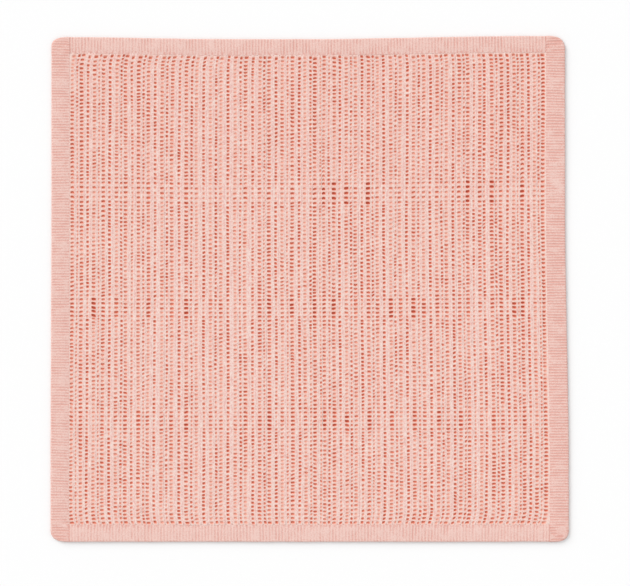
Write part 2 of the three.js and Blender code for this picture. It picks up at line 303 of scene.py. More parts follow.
def spread(count, reach):
    """Weights that smooth a line of random numbers over reach steps and keep their spread at 1."""
    steps = np.arange(count)
    weights = np.exp(-0.5 * ((steps[:, None] - steps[None, :]) / max(reach, 0.01)) ** 2)
    return weights / np.sqrt((weights ** 2).sum(axis=1, keepdims=True))


def smooth_noise(count, reach):
    """Smooth random unevenness of spread 1 along a line."""
    return spread(count, reach) @ random.standard_normal(count)


def drift(shape, reach):
    """Smooth random unevenness of spread 1 over a grid."""
    raw = random.standard_normal(shape)
    return spread(shape[0], reach[0]) @ raw @ spread(shape[1], reach[1]).T


def lay(x, y):
    """Where a point of the rectangle of cloth lies on the surface."""
    across, along = x / HALF_WIDTH, y / HALF_LENGTH
    sideways = RIGHT_SWELL * (1 + across) / 2 - LEFT_SWELL * (1 - across) / 2
    rise = TOP_LEFT_RISE * smoothstep(-across, 0.35, 0.9) + TOP_RIGHT_RISE * smoothstep(across, 0, 0.85)
    laid_x = x + sideways * smoothstep(0.35 - along, 0, 1.1) - (RIGHT_SWELL - LEFT_SWELL) / 2
    laid_y = y + rise * (1 + along) / 2 - TOP_RIGHT_RISE / 2
    return laid_x, laid_y


def pinched(x, y):
    """Sideways draw of the columns near the top and bottom bindings."""
    across = np.clip(x / (HALF_WIDTH / 2), -1, 1)
    near_top = np.clip(1 - (FIELD_TOP - y) / PINCH_REACH, 0, 1) ** 2
    near_bottom = np.clip(1 - (y - FIELD_BOTTOM) / PINCH_REACH, 0, 1) ** 2
    top = np.where(across < 0, PINCH["top_left"], PINCH["top_right"])
    bottom = np.where(across < 0, PINCH["bottom_left"], PINCH["bottom_right"])
    free = np.clip(np.minimum(x - FIELD_LEFT, FIELD_RIGHT - x) / PINCH_FREE, 0, 1)
    return x - across * free * (top * near_top + bottom * near_bottom)


def gaping(x, y):
    """How far the wide cells at points of the cloth gape: 0 away from the level bands."""
    share = np.zeros(np.broadcast(x, y).shape)
    for middle, places in GAPING.items():
        near_row = 1 - smoothstep(np.abs(y - middle) / BAND_PITCHES[middle], *GAPING_ROWS)
        for place, strength in places:
            near_column = 1 - smoothstep(np.abs(x - place), *GAPING_REACH)
            share = np.maximum(share, strength * near_row * near_column)
    return share


def new_piece(name, points, faces, slot, **values):
    """Mesh object of points (n, 3) and faces of any corner count, with one value a point for each name."""
    mesh = bpy.data.meshes.new(name)
    mesh.from_pydata(points.tolist(), [], [face for part in faces for face in part.tolist()])
    for key, numbers in values.items():
        layer = mesh.attributes.new(key, "FLOAT", "POINT")
        layer.data.foreach_set("value", np.asarray(numbers, dtype=np.float32).ravel())
    mesh.shade_smooth()
    piece = bpy.data.objects.new(name, mesh)
    bpy.context.collection.objects.link(piece)
    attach(piece, "root")
    return piece


def cell_columns():
    """Place across the cloth, openness, and number of its kind, for each column of cells."""
    columns = []
    start = FIRST_REPEAT
    for repeat in REPEATS:
        shares = repeat.get("shares", COLUMN_SHARES[len(repeat["open"])])
        for number, (share, openness) in enumerate(zip(shares, repeat["open"])):
            x = start + share * repeat["width"]
            if x > FIELD_LEFT:
                columns.append((x, openness, number % len(COLUMN_KINDS)))
        start += repeat["width"]
    return tuple(np.array(values) for values in zip(*columns))


def uneven_steps(start, end, unevenness):
    """Heights from start down to end in steps of about the usual pitch, without the start itself."""
    count = max(round((start - end) / ROW_PITCH + random.uniform(-0.4, 0.4)), 1)
    slow = STEP_WEIGHT * spread(count, 1.2) @ random.standard_normal(count)
    quick = STEP_WEIGHT * random.standard_normal(count)
    steps = np.clip(1 + unevenness * (slow + quick), *STEP_LIMITS)
    return start - np.cumsum(steps) / steps.sum() * (start - end)


def cell_heights(kind):
    """Heights of the cells of one column from the top down. Columns only stand level in the bands."""
    places = [FIELD_TOP - TOP_HEM_TO_ROW + random.uniform(*TOP_RAGGED)]
    for middle, pitch in BAND_PITCHES.items():
        first = middle + (BAND_ROWS - 1) / 2 * pitch + random.uniform(-BAND_RAGGED, BAND_RAGGED)
        places.extend(uneven_steps(places[-1], first, kind["uneven"]))
        rows = first - pitch * np.arange(1, BAND_ROWS)
        places.extend(rows + BAND_ROW_RAGGED * random.standard_normal(BAND_ROWS - 1))
    last = FIELD_BOTTOM + BOTTOM_HEM_TO_ROW + random.uniform(*BOTTOM_RAGGED)
    places.extend(uneven_steps(places[-1], last, kind["uneven"]))
    return np.array(places)


def cell_openness(x, y, openness, kind):
    """How far each cell of a column is open, and how far it gapes."""
    rows = len(y)
    gape = 0 * y
    if kind is WIDE:
        uneven = GAPING_USUAL + GAPING_UNEVEN * random.standard_normal(rows)
        gape = gaping(x, y) * np.clip(uneven, *GAPING_LIMITS)
    opened = openness + kind["slow"] * smooth_noise(rows, 5) + kind["quick"] * smooth_noise(rows, 0.5)
    opened[[0, -1]] += HEMS_OPEN
    in_band = np.max([1 - smoothstep(np.abs(y - middle), *BAND_FADE) for middle in BAND_PITCHES], axis=0)
    if kind is WIDE:
        opened = opened + random.uniform(*WIDE_OPENS) * in_band
    else:
        opened = opened * (1 - random.uniform(*ROUND_CLOSES) * in_band)
    opened = np.clip(np.maximum(opened, gape), LEAST_OPEN, MOST_OPEN)
    return opened, np.clip(gape, 0, MOST_OPEN)


# Eight directions round a cell, counterclockwise from +X, on a slightly full oval, and its three rings. Six
# of them face a cord, and the two along the column face a rung.
CORNERS, RINGS = 8, 3
CELL_TURN = np.arange(CORNERS) * math.pi / 4
CELL_FULLNESS = np.where(np.arange(CORNERS) % 2 == 1, 1.10, 1.0)
CELL_X = np.cos(CELL_TURN) * CELL_FULLNESS
CELL_Y = np.sin(CELL_TURN) * CELL_FULLNESS
FACES_CORD = np.abs(CELL_X) > 0.3


def cell_tones(opened, gape, kind):
    """Sunk (painted cell shade), crest (painted highlight against painted furrow shade) and warm (coral,
    partly painted bounced light) values of a column: on both furrow lines, the rungs, the rings and the
    middles.
    """
    rows = len(opened)
    on_lines = 4 * rows + 2
    open_share = np.clip(opened, 0, 1)
    # How far the painted shade of each cell shows: more as it opens, most where it gapes
    sunk = mix(SHUT_SUNK, 1, open_share) + GAPING_SUNK * gape
    flat = np.zeros(rows)
    ring_grid = np.zeros((rows, RINGS, CORNERS))

    line_crest = FURROW_CREST + FURROW_PATCHY * smooth_noise(on_lines, 0.8)
    ring_crest = RING_CREST * np.where(FACES_CORD, 1.0, 0.95) + ring_grid
    ring_crest += RING_PATCHY * random.standard_normal((rows, 1, CORNERS))
    rung_crest = RUNG_CREST + RUNG_PATCHY * random.standard_normal(rows + 1)

    pale = kind["paling"] * open_share
    rung_side_warm = RUNG_SIDE_WARM * (1 - pale)[:, None, None]
    ring_warm = np.where(FACES_CORD, kind["cord_warmth"], rung_side_warm) + ring_grid
    rung_warm = RUNG_WARM * (1 - np.append(pale, pale[-1])) + WARM_PATCHY * smooth_noise(rows + 1, 0.6)

    ring_sunk = sunk[:, None, None] * RING_SUNK * np.ones(CORNERS)
    crest = np.concatenate([line_crest, rung_crest, ring_crest.ravel(), flat])
    warm = np.concatenate([np.zeros(on_lines), rung_warm, ring_warm.ravel(), flat])
    return {
        "sunk": np.concatenate([np.zeros(on_lines + rows + 1), ring_sunk.ravel(), MIDDLE_SUNK * sunk]),
        "crest": np.clip(crest, 0, MOST_CREST),
        "warm": np.clip(warm, 0, 1),
    }


def column_mesh(middle_x, left_x, right_x, openness, kind):
    """One column of blind cells between the furrows left and right of it.

    The three lines give x for any height along the cloth. Gives the points, their tones, the faces, and the
    indices of the left line, the right line and the rungs from the top down.
    """
    y = cell_heights(kind)
    x = middle_x(y)
    rows = len(y)
    opened, gape = cell_openness(x, y, openness, kind)
    across = mix(kind["across"] * mix(kind["shut"], kind["full"], opened), GAPING_CELL[0], gape)
    along = mix(kind["along"] * mix(SHUT_HEIGHT, 1.0, opened), GAPING_CELL[1], gape)
    room = np.minimum(x - left_x(y), right_x(y) - x)
    across = np.minimum(across, room - LEAST_CORD)
    lean = kind["lean"] * smooth_noise(rows, 1.0)
    bow = kind["bow"] * smooth_noise(rows, 4) * (1 - GAPING_STRAIGHTER * np.clip(gape, 0, 1))

    # Rungs between the cells, and the points where rungs and furrows meet
    between = ((y - along)[:-1] + (y + along)[1:]) / 2
    rung_y = np.concatenate([[FIELD_TOP + UNDER_HEM], between, [FIELD_BOTTOM - UNDER_HEM]])
    line_y = np.empty(2 * rows + 1)
    line_y[0::2], line_y[1::2] = rung_y, y
    line_z = mix(CORD_VALLEY, CORD_CROSSING, np.arange(2 * rows + 1) % 2 == 0)
    line_z[[0, -1]] = SEWN_EDGE

    def furrow_line(line_x):
        return np.stack([line_x(line_y), line_y, line_z + FURROW_ROUGH * smooth_noise(2 * rows + 1, 0.7)], -1)

    left_line, right_line = furrow_line(left_x), furrow_line(right_x)
    rung_z = kind["rung"] + RUNG_ROUGH * random.standard_normal(rows + 1)
    rung_z[[0, -1]] = SEWN_EDGE
    rung_line = np.stack([middle_x(rung_y), rung_y, rung_z], -1)
    lines = np.concatenate([left_line, right_line, rung_line])

    left = np.arange(2 * rows + 1)
    right = left + 2 * rows + 1
    rungs = 4 * rows + 2 + np.arange(rows + 1)
    rings = len(lines) + np.arange(rows * RINGS * CORNERS).reshape(rows, RINGS, CORNERS)
    middles = len(lines) + rings.size + np.arange(rows)
    outer = np.stack([right[1::2], right[0:-1:2], rungs[:-1], left[0:-1:2],
                      left[1::2], left[2::2], rungs[1:], right[2::2]], -1)

    def oval(shrink):
        """Oval round each cell's middle, leaning and bowed."""
        out_x = (across - shrink)[:, None] * CELL_X
        out_y = np.maximum(along - shrink, LEAST_HALF)[:, None] * CELL_Y
        bent = bow[:, None] * (0.5 - CELL_X ** 2) + out_x * np.tan(lean)[:, None]
        return np.stack([x[:, None] + out_x, y[:, None] + out_y + bent], -1)

    # Crest, lip and floor of each cell
    lip, floor = oval(0), oval(FLOOR_SHRINK)
    rim = lines[outer][..., :2]
    crest = mix(lip, rim, np.where(FACES_CORD, CREST_AT_CORD, CREST_AT_RUNG)[:, None])
    crest_z = np.where(FACES_CORD, CORD_CREST - CREST_STEP, kind["rung"] + RUNG_STEP)
    crest_z = crest_z + CREST_ROUGH * random.standard_normal((rows, CORNERS))
    crest_z[0, 1:4] = crest_z[-1, 5:8] = SEWN_EDGE - CREST_STEP
    level = np.zeros((rows, CORNERS))
    lip_z = np.where(FACES_CORD, min(LIP, kind["rung"]), kind["rung"] - LIP_STEP) + level
    depth = mix(kind["rung"] - SHUT_STEP, CELL_FLOOR, np.clip(opened, 0, 1) ** SINKING)
    ring_points = np.stack([
        np.concatenate([crest, crest_z[..., None]], -1),
        np.concatenate([lip, lip_z[..., None]], -1),
        np.concatenate([floor, (depth[:, None] + level)[..., None]], -1),
    ], axis=1)
    middle = np.stack([x, y + bow / 2, depth - DISH_STEP], -1)
    points = np.concatenate([lines, ring_points.reshape(-1, 3), middle])

    tones = cell_tones(opened, gape, kind)
    loops = [outer, *rings.transpose(1, 0, 2)]
    faces = []
    for wide, narrow in zip(loops, loops[1:]):
        quads = np.stack([wide, np.roll(wide, -1, 1), np.roll(narrow, -1, 1), narrow], -1)
        faces.append(quads.reshape(-1, 4))
    tips = np.broadcast_to(middles[:, None], (rows, CORNERS))
    faces.append(np.stack([loops[-1], np.roll(loops[-1], -1, 1), tips], -1).reshape(-1, 3))
    return points, tones, faces, left, right, rungs


def seam_faces(left, left_y, right, right_y):
    """Triangles that join two lines of points running down the cloth, whatever their spacing."""
    above = np.searchsorted(-right_y[1:], -left_y[1:], side="left")
    beside = np.searchsorted(-left_y[1:], -right_y[1:], side="right")
    down_left = np.stack([left[:-1], left[1:], right[above]], -1)
    down_right = np.stack([left[beside], right[1:], right[:-1]], -1)
    return np.concatenate([down_left, down_right])


class FaceStrip:
    """One piece of the face, gathered line by line and column by column from its left end to its right."""

    def __init__(self):
        self.points, self.faces, self.lines = [], [], []
        self.tones = {"sunk": [], "crest": [], "warm": []}
        self.top_rim, self.low_rim = [], []
        self.count = 0

    def add(self, points, tones, lines_down):
        """Add points, with the lines among them that run from the top rim down. Gives the first index."""
        first = self.count
        self.count += len(points)
        self.points.append(points)
        for key, numbers in self.tones.items():
            numbers.append(tones[key])
        for line in lines_down:
            self.top_rim.append(first + line[0])
            self.low_rim.append(first + line[-1])
        return first

    def add_column(self, points, tones, faces, left, right, rungs):
        first = self.add(points, tones, (left, rungs, right))
        self.faces += [face + first for face in faces]
        self.lines += [(line + first, points[line, 1]) for line in (left, right)]

    def add_end(self, line_x):
        """Line of points in the furrow where this piece meets the next one."""
        y = np.linspace(FIELD_TOP + UNDER_HEM, FIELD_BOTTOM - UNDER_HEM, END_POINTS)
        x = line_x(y)
        height = SEWN_EDGE if abs(x[0]) > FIELD_RIGHT else CORD_VALLEY
        level = np.zeros(len(y))
        line = np.arange(len(y))
        tones = {"sunk": level, "crest": level + FURROW_CREST, "warm": level}
        first = self.add(np.stack([x, y, level + height], -1), tones, (line,))
        self.lines.append((line + first, y))
        return line + first

    def close(self, left_end, right_end):
        """Join the columns, and close the piece with side walls and a plain underside."""
        for (left, left_y), (right, right_y) in zip(self.lines[0::2], self.lines[1::2]):
            self.faces.append(seam_faces(left, left_y, right, right_y))
        points = np.concatenate(self.points)
        rim = np.array([*left_end[::-1][:-1], *self.top_rim[:-1], *right_end[:-1], *self.low_rim[::-1][:-1]])
        below = self.count + np.arange(len(rim))
        centre = np.full(len(rim), self.count + len(rim))
        lowered = points[rim].copy()
        lowered[:, 2] = FACE_UNDERSIDE
        self.faces.append(np.stack([rim, np.roll(rim, -1), np.roll(below, -1), below], -1))
        self.faces.append(np.stack([below, np.roll(below, -1), centre], -1))
        points = np.concatenate([points, lowered, lowered.mean(axis=0)[None]])
        tones = {key: np.concatenate([*parts, np.zeros(len(rim) + 1)]) for key, parts in self.tones.items()}
        return points, self.faces, tones


def knit_face():
    """The raised face of the panel: columns of blind cells with cords between them, in a few pieces."""
    column_x, openness, kind_number = cell_columns()
    count = len(column_x)
    beyond_hem, stations = 0.002, 120
    heights = np.linspace(FIELD_BOTTOM - beyond_hem, FIELD_TOP + beyond_hem, stations)
    grid = (count, stations)
    sway = SLOW_SWAY * drift(grid, (0.5, 9)) + QUICK_SWAY * drift(grid, (0, 0.6))
    middle = column_x[:, None] + sway + OFF_PLACE * random.standard_normal((count, 1))
    middle += COLUMN_LEAN * heights / HALF_LENGTH
    half = np.array([COLUMN_KINDS[number]["across"] for number in kind_number])[:, None]
    gape = np.clip(gaping(middle, heights[None, :]), 0, 1) * kind_number[:, None]
    half = mix(half, GAPING_CELL[0], gape)

    # Left and right edge of each column, and the furrows between them
    cord_left, cord_right = (middle + half)[:-1], (middle - half)[1:]
    ridge = CORD_SHARE * (cord_right - cord_left)
    first_edge = np.full((1, len(heights)), FIELD_LEFT)
    last_edge = np.full((1, len(heights)), FIELD_RIGHT)
    left_edge = np.concatenate([first_edge, cord_right - ridge])
    right_edge = np.concatenate([cord_left + ridge, last_edge])
    furrow = np.concatenate([first_edge - UNDER_HEM, (cord_left + cord_right) / 2, last_edge + UNDER_HEM])

    def line(values):
        return lambda y: np.interp(y, heights, values)

    pieces = []
    for number, columns in enumerate(np.array_split(np.arange(count), FACE_STRIPS), start=1):
        strip = FaceStrip()
        left_end = strip.add_end(line(furrow[columns[0]]))
        for column in columns:
            points, tones, faces, left, right, rungs = column_mesh(
                line(middle[column]), line(left_edge[column]), line(right_edge[column]),
                openness[column], COLUMN_KINDS[kind_number[column]])
            # The outermost lines along the sewn edges get a paler crest tone: painted highlight
            for outermost, edge in ((0, left), (count - 1, right)):
                if column == outermost:
                    points[edge, 2] = SEWN_EDGE
                    tones["crest"][edge] += SEWN_CREST
            strip.add_column(points, tones, faces, left, right, rungs)
        right_end = strip.add_end(line(furrow[columns[-1] + 1]))
        points, faces, tones = strip.close(left_end, right_end)
        points[:, 0] = pinched(points[:, 0], points[:, 1])
        points[:, 0], points[:, 1] = lay(points[:, 0], points[:, 1])
        tones["crest"] += REST_PALER - TOP_WARMER * smoothstep(points[:, 1], TOP_WARMER_FROM, TOP_WARMER_TO)
        pieces.append(new_piece(f"knit_face_{number}", points, faces, "cellular_knit", **tones))
    return pieces


def edge_distance(x, y):
    """How far a point of the rectangle lies inside the rounded outline."""
    inside = np.minimum(HALF_WIDTH - np.abs(x), HALF_LENGTH - np.abs(y))
    for (side_x, side_y), (reach_x, reach_y) in CORNER_REACH.items():
        out_x = (x * side_x - (HALF_WIDTH - reach_x)) / reach_x
        out_y = (y * side_y - (HALF_LENGTH - reach_y)) / reach_y
        in_corner = (out_x > 0) & (out_y > 0)
        out_x, out_y = np.where(in_corner, out_x, 0), np.where(in_corner, out_y, 0)
        size = (out_x ** CORNER_FULLNESS + out_y ** CORNER_FULLNESS) ** (1 / CORNER_FULLNESS)
        reach = (reach_x * out_x ** 2 + reach_y * out_y ** 2) / np.maximum(out_x ** 2 + out_y ** 2, 1e-9)
        inside = np.where(in_corner, (1 - size) * reach, inside)
    return np.maximum(inside, 0)


def side_edge(y, side_x):
    """Distance from the middle line to the outline of a side, at heights along it."""
    edge = np.full_like(y, HALF_WIDTH)
    for side_y in (1, -1):
        reach_x, reach_y = CORNER_REACH[(side_x, side_y)]
        up = np.clip((y * side_y - (HALF_LENGTH - reach_y)) / reach_y, 0, 1)
        curve = (1 - up ** CORNER_FULLNESS) ** (1 / CORNER_FULLNESS)
        edge = np.where(up > 0, HALF_WIDTH - reach_x * (1 - curve), edge)
    return edge


def stitches(x, y, reach, upright):
    """How far the sewing thread warms the binding: over each column at the hem, and at two corner tips."""
    share = np.zeros(x.shape)
    for tip_x, tip_y in CORNER_STITCHES:
        off_x, off_y = (x - tip_x) / CORNER_STITCH_WIDTH, (y - tip_y) / CORNER_STITCH_HEIGHT
        share += CORNER_STITCH_TONE * np.exp(-off_x ** 2 - off_y ** 2)
    if not upright:
        near_hem = 1 - smoothstep(reach, *HEM_STITCH_REACH)
        from_butt = np.minimum(x - FIELD_LEFT, FIELD_RIGHT - x)
        share += BUTT_STITCH_TONE - BUTT_STITCH_TONE * smoothstep(from_butt, *BUTT_STITCH_REACH)
        for column in cell_columns()[0]:
            strength = random.uniform(*HEM_STITCH_TONES)
            share += strength * np.exp(-((x - pinched(column, y)) / HEM_STITCH_WIDTH) ** 2) * near_hem
    return share


def slot_section(seam, sign, width, from_end, upright):
    """Corners of the slot for the panel's edge at each station: places across the strip, and heights."""
    half = BINDING_THICKNESS / 2
    closing = smoothstep(from_end, *SLOT_CLOSES) if upright else np.ones(len(width))
    slot_half = np.maximum((half - BINDING_PLY) * closing, SLOT_LEAST)
    slot_reach = np.maximum(width - SLOT_STOP, SLOT_LEAST_SHARE * width)
    at_seam, at_fold = np.full(len(width), seam), seam + sign * slot_reach
    across = np.stack([at_seam, at_fold, at_fold, at_seam], 1)
    return across, half + np.stack([-slot_half, -slot_half, slot_half, slot_half], 1)


def tube_faces(stations, corners, turned):
    """Faces of a closed strip whose stations are loops of points, with a cap at each end."""
    ids = np.arange(stations * corners).reshape(stations, corners)
    quads = np.stack([ids[:-1], np.roll(ids[:-1], -1, 1), np.roll(ids[1:], -1, 1), ids[1:]], -1)
    quads, caps = quads.reshape(-1, 4), np.stack([ids[0][::-1], ids[-1]])
    return [quads[:, ::-1], caps[:, ::-1]] if turned else [quads, caps]


def binding(side):
    """A strip of rib knit folded over one edge of the panel, with the slot that holds the panel's edge."""
    upright = side in ("left", "right")
    sign = -1 if side in ("left", "bottom") else 1
    left_seam, right_seam = FIELD_LEFT + SEAM_STEP, FIELD_RIGHT - SEAM_STEP
    if upright:
        start, end, pitch = -HALF_LENGTH, HALF_LENGTH, SIDE_RIB_PITCH
        seam = left_seam if side == "left" else right_seam
    else:
        start, end, pitch = left_seam + BUTT_GAP, right_seam - BUTT_GAP, END_RIB_PITCH
        seam = FIELD_TOP if side == "top" else FIELD_BOTTOM
    ribs = round((end - start) / pitch)
    phase = np.append((np.arange(ribs)[:, None] + RIB_PHASES).ravel(), ribs)
    along = start + phase / ribs * (end - start)
    outer = sign * side_edge(along, sign) if upright else np.full_like(along, sign * HALF_LENGTH)
    width = np.abs(outer - seam)
    from_end = np.minimum(along - start, end - along)

    def placed(over_strip, down_strip):
        return (over_strip, down_strip) if upright else (down_strip, over_strip)

    # Ribs are uneven in depth and waver sideways, most of all near the corners
    share = np.concatenate([OVER, BELOW])
    stations, corners = len(along), len(share)
    grid = (stations, corners)
    reach = share[None, :] * width[:, None]
    across = seam + sign * reach
    near_corner = (smoothstep(CORNER_PART - from_end, 0, CORNER_FADE) if upright else 0 * from_end)[:, None]
    furrow = ((0.5 + 0.5 * np.cos(2 * math.pi * phase)) ** FURROW_FULLNESS)[:, None]
    depth = FURROW_USUAL + mix(*FURROW_UNEVEN, near_corner) * drift(grid, (3, 1.2))
    furrow = furrow * np.clip(depth, *FURROW_LIMITS)
    waver = drift(grid, (34, 7)) * SLOW_WAVER
    waver += drift(grid, (10, 4)) * mix(*QUICK_WAVER, near_corner)
    waver *= np.clip(from_end / WAVER_HELD, 0, 1)[:, None]
    placed_along = along[:, None] + waver

    # Over the cloth and under it, thinner towards the field and hollowed along the furrows
    x, y = placed(across, placed_along)
    inset = edge_distance(x, y) if upright else np.abs(outer)[:, None] - np.abs(across)
    fold = np.maximum(rounded(inset, FOLD_ROUND), LEAST_FOLD)
    ply = mix(SEAM_PLY, 1, smoothstep(reach, *SEAM_SLOPE))
    if upright:
        beside_field = smoothstep(from_end - BINDING_WIDTH["top"], *BUTT_TO_FIELD)[:, None]
        ply = mix(mix(BUTT_PLY, 1, rounded(reach, BUTT_ROUND)), ply, beside_field)
    else:
        ply = np.minimum(ply, mix(BUTT_PLY, 1, rounded(from_end, BUTT_ROUND))[:, None])
    half = BINDING_THICKNESS / 2
    seam_height = half - BINDING_PLY + BINDING_PLY * ply
    swell = SWELL * drift(grid, (60, 6))
    hollow = RIB_DEPTH[side] * furrow * np.minimum(fold, mix(FURROW_STAYS, 1, ply))
    rise = np.minimum(half * fold, seam_height) - hollow + swell
    over_z, below_z = half + np.maximum(rise, LEAST_HEIGHT), half - np.maximum(rise - swell, LEAST_HEIGHT)
    z = np.where(np.arange(corners) < len(OVER), over_z, below_z)
    z[:, len(OVER) - 1] = half
    squeeze = smoothstep(share, FOLD_FROM, 1)
    drawn_in = FOLD_DENT * furrow + FOLD_SWAY * drift((stations, 1), (14, 0))
    across = across - sign * squeeze[None, :] * drawn_in

    x, y = placed(across, placed_along)
    # Crown tone: painted highlight on the rib crowns, painted shade along the furrows, and more of that shade
    # colour near the corners
    crown = np.clip(1 - FURROW_SHADE_TONE[side] * furrow - CORNER_TONE * near_corner, 0, 1)
    crown -= stitches(x, y, reach, upright)
    slot_across, slot_z = slot_section(seam, sign, width, from_end, upright)
    slot_x, slot_y = placed(slot_across, np.repeat(along[:, None], slot_across.shape[1], 1))
    x, y = np.concatenate([x, slot_x], 1), np.concatenate([y, slot_y], 1)
    z = np.concatenate([z, slot_z], 1)
    points = np.stack([*lay(x, y), z], -1).reshape(-1, 3)
    crown = np.concatenate([crown, np.ones_like(slot_z)], 1)
    distance = np.concatenate([reach, np.zeros_like(slot_z)], 1)
    faces = tube_faces(*z.shape, (sign > 0) == upright)
    piece = new_piece(f"rib_binding_{side}", points, faces, "rib_binding", crest=crown, along=distance)
    piece.data.set_sharp_from_angle(angle=math.radians(60))
    return piece


def back_ply():
    """The plain back of the double knit: fine ribs below, and edges that bend up into the bindings."""
    column_x, _, _ = cell_columns()
    bend, low_rib, rough = 0.003, 0.0003, 0.00002
    middles = (column_x[1:] + column_x[:-1]) / 2
    inner = np.sort(np.concatenate([column_x, middles]))
    # Points at each edge, from the end of the tuck inwards
    edge = np.array([-TUCK, -0.001, SEWING_GAP, 0.0012])
    across = np.concatenate([FIELD_LEFT + edge, inner, FIELD_RIGHT - edge[::-1]])
    rib = np.concatenate([np.zeros(len(edge)), np.isin(inner, middles) * 1.0, np.zeros(len(edge))])
    rows = np.linspace(FIELD_BOTTOM + bend, FIELD_TOP - bend, 70)
    along = np.concatenate([FIELD_BOTTOM + edge, rows, FIELD_TOP - edge[::-1]])
    x, y = np.meshgrid(across, along, indexing="ij")
    edge_x = np.minimum(x - FIELD_LEFT, FIELD_RIGHT - x)
    edge_y = np.minimum(y - FIELD_BOTTOM, FIELD_TOP - y)
    from_edge = np.minimum(edge_x, edge_y)
    lift = (BINDING_PLY + SEWING_GAP) * (1 - smoothstep(from_edge, SEWING_GAP, bend))
    hollow = low_rib * (1 - rib[:, None]) * smoothstep(from_edge, 0.001, 0.006)
    laid_x, laid_y = lay(pinched(x, y), y)
    upper = np.stack([laid_x, laid_y, lift + BACK_PLY], -1)
    lower = np.stack([laid_x, laid_y, lift + hollow + rough * np.abs(drift(x.shape, (1, 1)))], -1)
    points = np.concatenate([upper.reshape(-1, 3), lower.reshape(-1, 3)])
    ids = np.arange(x.size).reshape(x.shape)
    quads = np.stack([ids[:-1, :-1], ids[1:, :-1], ids[1:, 1:], ids[:-1, 1:]], -1).reshape(-1, 4)
    rim = np.concatenate([ids[:-1, 0], ids[-1, :-1], ids[:0:-1, -1], ids[0, :0:-1]])
    wall = np.stack([rim, rim + x.size, np.roll(rim, -1) + x.size, np.roll(rim, -1)], -1)
    # Ribs below get the crest tone: painted highlight on them, painted shade between them
    crown = np.concatenate([np.zeros(x.size), (0 * x + rib[:, None]).ravel()])
    level = np.zeros(2 * x.size)
    return new_piece("back_ply", points, [quads, quads[:, ::-1] + x.size, wall], "cellular_knit",
                     sunk=level, warm=level, crest=crown)


def linear(red, green, blue):
    """Scene-linear colour of a display colour given as 0 to 255."""
    shares = [channel / 255 for channel in (red, green, blue)]
    return (*[c / 12.92 if c <= 0.04045 else ((c + 0.055) / 1.055) ** 2.4 for c in shares], 1.0)


# Colours of the yarn: its pink with a painted highlight on the crests and painted shade in the furrows, coral
# on the rungs that is partly painted bounced light, and painted shade with bounced coral light down in the
# cells
CREST_HIGHLIGHT_PINK = linear(221, 201, 193)
VALLEY_SHADE_PINK = linear(214, 168, 160)
RUNG_AND_BOUNCE_CORAL = linear(216, 160, 143)
WALL_SHADE_CORAL = linear(216, 148, 130)
FLOOR_SHADE_CORAL = linear(208, 113, 90)
DEEPEST_SHADE_CORAL = linear(180, 76, 54)
# Rib crowns carry a painted highlight, rib furrows painted shade
RIB_HIGHLIGHT_PINK = linear(217, 185, 176)
FURROW_SHADE_PINK = linear(206, 154, 143)

# Ranges of the sunk value over which the colour turns to the painted shade of the wall, the floor and the
# deepest cells, coral like light bounced in them
CELL_SHADE_COLOURS = (((0.0, 0.30), WALL_SHADE_CORAL), ((0.35, 0.95), FLOOR_SHADE_CORAL), ((1.0, 1.35), DEEPEST_SHADE_CORAL))

# Height of one course of loops on the panel and on the bindings, and how strongly slubs speckle the yarn
KNIT_COURSE, RIB_COURSE = 0.0019, 0.0016
KNIT_SPECKLES, RIB_SPECKLES = 3.4, 2.2
# Sockets of a node that blends two colours
BLEND_SHARE, BLEND_A, BLEND_B, BLEND_RESULT = 0, 6, 7, 2


class Nodes:
    """Shorthand for building one node tree: add a node with its settings, and join sockets."""

    def __init__(self, tree):
        self.tree = tree

    def put(self, value, socket):
        """Link a socket to another one, or set its value."""
        if isinstance(value, bpy.types.NodeSocket):
            self.tree.links.new(value, socket)
        else:
            socket.default_value = value

    def add(self, kind, inputs=(), **settings):
        made = self.tree.nodes.new(kind)
        for key, value in settings.items():
            setattr(made, key, value)
        for key, value in dict(inputs).items():
            self.put(value, made.inputs[key])
        return made

    def math(self, operation, *values, clamp=False):
        inputs = enumerate(values)
        return self.add("ShaderNodeMath", inputs, operation=operation, use_clamp=clamp).outputs[0]

    def blend(self, a, b, share):
        inputs = {BLEND_SHARE: share, BLEND_A: a, BLEND_B: b}
        return self.add("ShaderNodeMix", inputs, data_type="RGBA").outputs[BLEND_RESULT]

    def attribute(self, name):
        return self.add("ShaderNodeAttribute", attribute_name=name).outputs["Fac"]

    def noise(self, place, scale, **inputs):
        return self.add("ShaderNodeTexNoise", {"Vector": place, "Scale": scale, **inputs}).outputs[0]


def new_group(name, inputs, outputs):
    """Node group with float or vector sockets, and its input and output nodes."""
    tree = bpy.data.node_groups.new(name, "ShaderNodeTree")
    for socket, (kind, value) in inputs.items():
        made = tree.interface.new_socket(socket, in_out="INPUT", socket_type=kind)
        if kind == "NodeSocketFloat":
            made.default_value = value
    for socket in outputs:
        tree.interface.new_socket(socket, in_out="OUTPUT", socket_type="NodeSocketFloat")
    nodes = Nodes(tree)
    return nodes, nodes.add("NodeGroupInput").outputs, nodes.add("NodeGroupOutput").inputs


